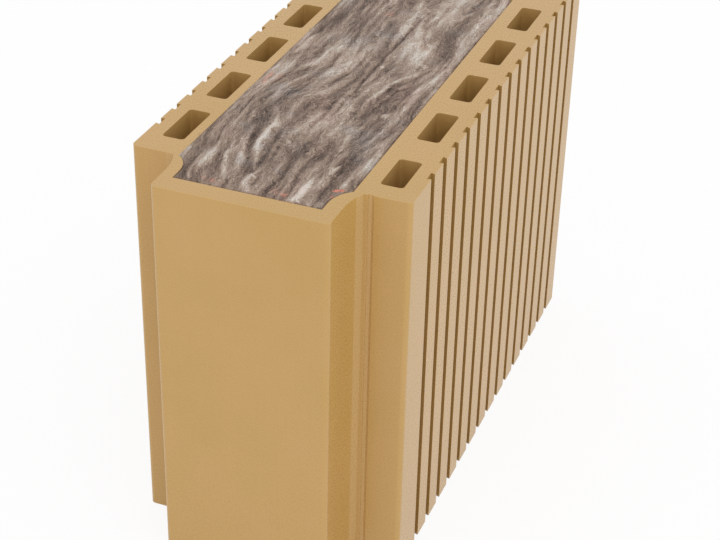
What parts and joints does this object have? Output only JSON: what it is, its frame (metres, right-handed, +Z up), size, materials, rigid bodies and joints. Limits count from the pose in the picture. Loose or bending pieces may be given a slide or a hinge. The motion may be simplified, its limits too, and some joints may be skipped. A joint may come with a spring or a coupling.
{
  "type": "insulated hollow clay block",
  "caption": "Hollow clay wall block with a tongue and socket, grooved sides, rows of slot chambers and a mineral wool core.",
  "frame": {"origin": "on the bed face, under the middle of the whole block", "axes": "+X along the wall, away from the tongue; +Y through the wall; +Z up, the way the chambers run"},
  "size_m": [0.3646, 0.163, 0.249],
  "materials": {
    "fired_clay": "matt fired clay, extruded sides and ground beds",
    "mineral_wool": "matt fibrous wool, cut flush"
  },
  "bodies": {
    "root": {"clay_block": "fired_clay", "mineral_wool": "mineral_wool"}
  },
  "joints": []
}
